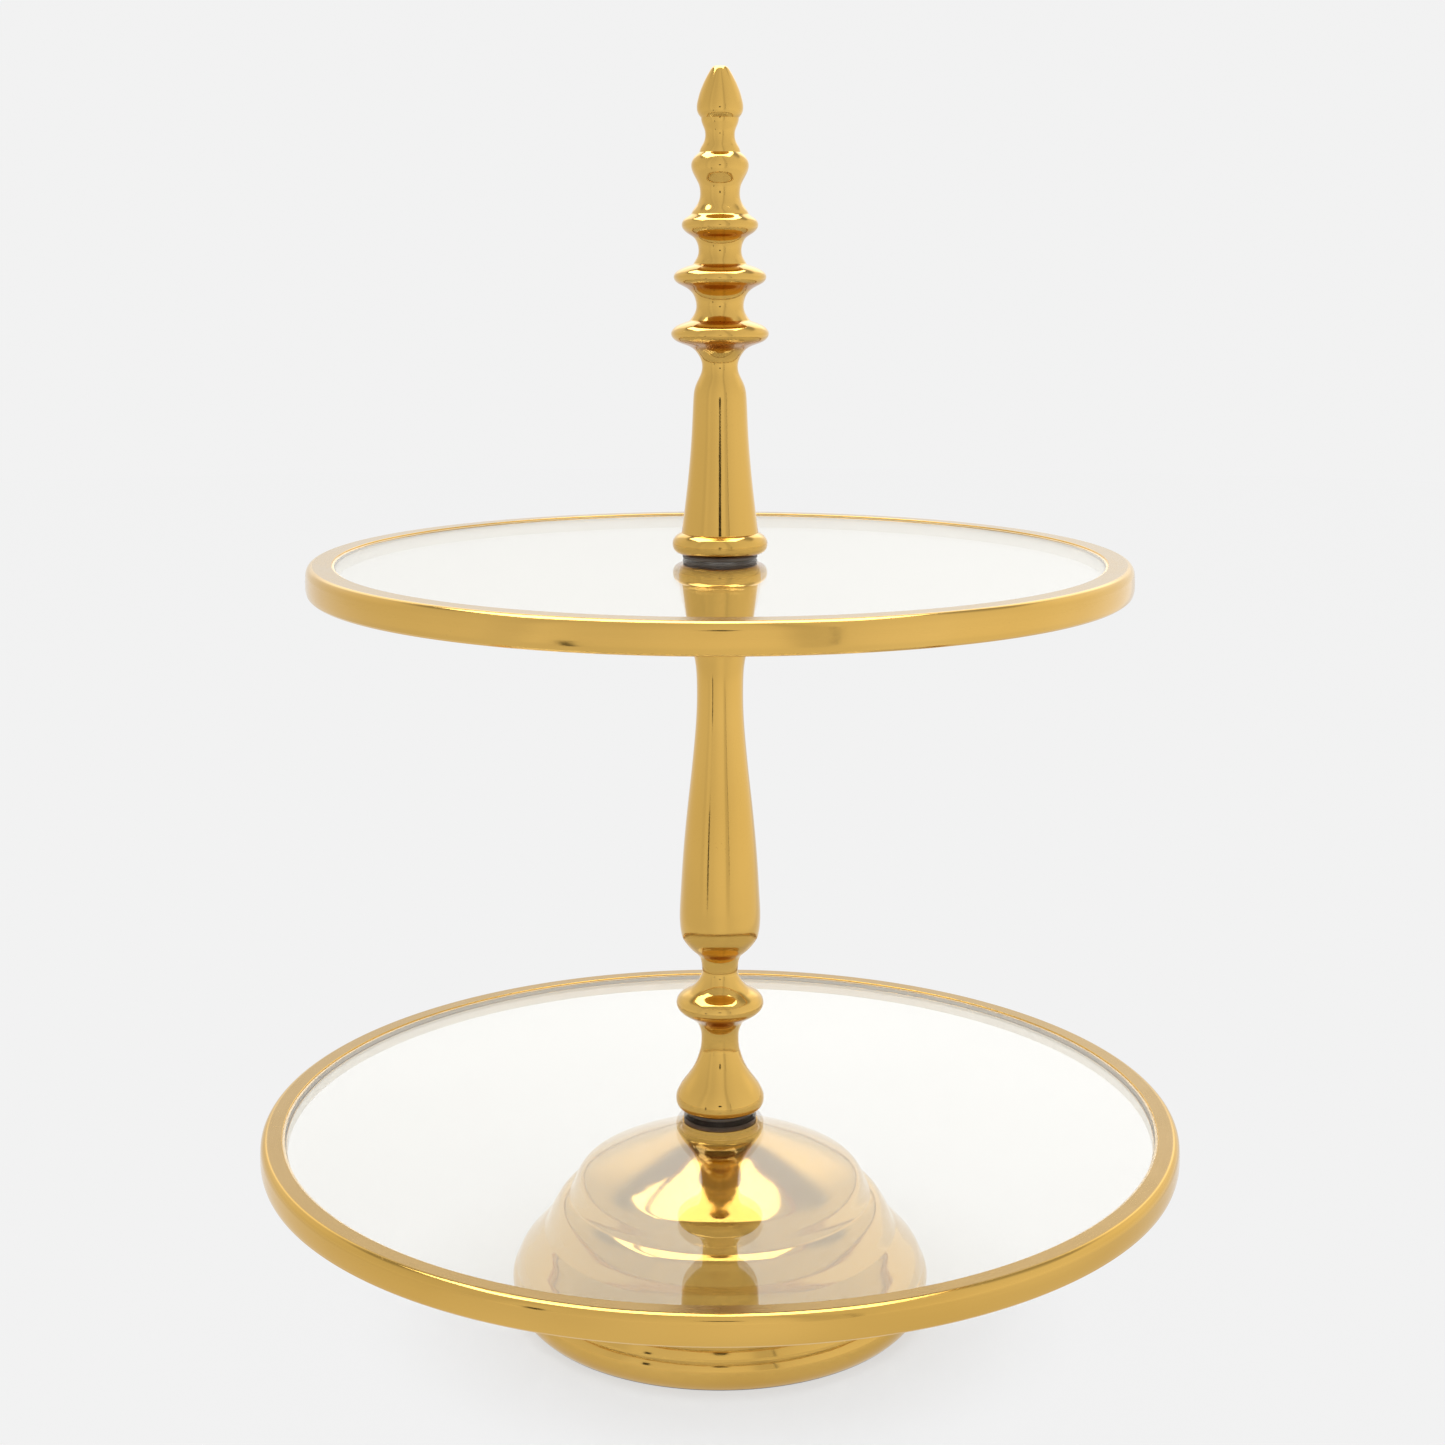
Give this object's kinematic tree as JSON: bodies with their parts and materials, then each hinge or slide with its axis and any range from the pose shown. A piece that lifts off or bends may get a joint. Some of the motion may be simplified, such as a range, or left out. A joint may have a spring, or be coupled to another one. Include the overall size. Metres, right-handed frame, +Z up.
{
  "type": "tiered cake stand",
  "caption": "Cake stand with round glass trays in polished metal rims on a turned post, with a ringed lifting handle and a stepped bell foot.",
  "frame": {"origin": "middle of the surface that the stand rests on, on the post's axis", "axes": "+Z up along the post; the stand is round about Z"},
  "size_m": [0.3, 0.3, 0.4],
  "materials": {
    "polished_gold": "polished, lacquered",
    "zinc_steel": "zinc plated",
    "black_rubber": "satin",
    "clear_glass": "clear, polished",
    "rim_sealant": "translucent silicone",
    "nylon": "natural nylon"
  },
  "bodies": {
    "base": {"base_dome": "polished_gold", "foot_pad_ring": "black_rubber", "base_bolt": "zinc_steel", "base_flat_washer": "zinc_steel", "base_lock_washer": "zinc_steel", "lower_gasket": "black_rubber"},
    "lower_tray": {"lower_glass": "clear_glass", "lower_rim": "polished_gold", "lower_rim_seal": "rim_sealant", "lower_hole_bush": "nylon"},
    "column_washer": {"lower_washer": "black_rubber"},
    "column": {"column_foot": "polished_gold", "column_shaft": "polished_gold", "column_stud": "zinc_steel", "tie_stud": "zinc_steel", "upper_gasket": "black_rubber"},
    "upper_tray": {"upper_glass": "clear_glass", "upper_rim": "polished_gold", "upper_rim_seal": "rim_sealant", "upper_hole_bush": "nylon"},
    "handle_washer": {"upper_washer": "black_rubber"},
    "handle": {"handle_grip": "polished_gold", "finial_stem": "polished_gold", "finial_bud": "polished_gold", "finial_stud": "zinc_steel", "bud_stud": "zinc_steel"}
  },
  "joints": [
    {"name": "lower_tray_turn", "type": "hinge", "parent": "base", "child": "lower_tray", "pos_m": [0, 0, 0.0635], "axis": [0, 0, 1], "continuous": true},
    {"name": "column_rise", "type": "slide", "parent": "base", "child": "column_washer", "axis": [0, 0, 1], "range_m": [0, 0.01219]},
    {"name": "column_unscrew", "type": "hinge", "parent": "column_washer", "child": "column", "pos_m": [0, 0, 0.0675], "axis": [0, 0, 1], "range_deg": [0, 3511]},
    {"name": "upper_tray_turn", "type": "hinge", "parent": "column", "child": "upper_tray", "pos_m": [0, 0, 0.248], "axis": [0, 0, 1], "continuous": true},
    {"name": "handle_rise", "type": "slide", "parent": "column", "child": "handle_washer", "axis": [0, 0, 1], "range_m": [0, 0.01219]},
    {"name": "handle_unscrew", "type": "hinge", "parent": "handle_washer", "child": "handle", "pos_m": [0, 0, 0.252], "axis": [0, 0, 1], "range_deg": [0, 3511]}
  ],
  "couplings": [
    {"joint": "column_unscrew", "follows": "column_rise", "rad_per_m": 5026.5},
    {"joint": "handle_unscrew", "follows": "handle_rise", "rad_per_m": 5026.5}
  ]
}
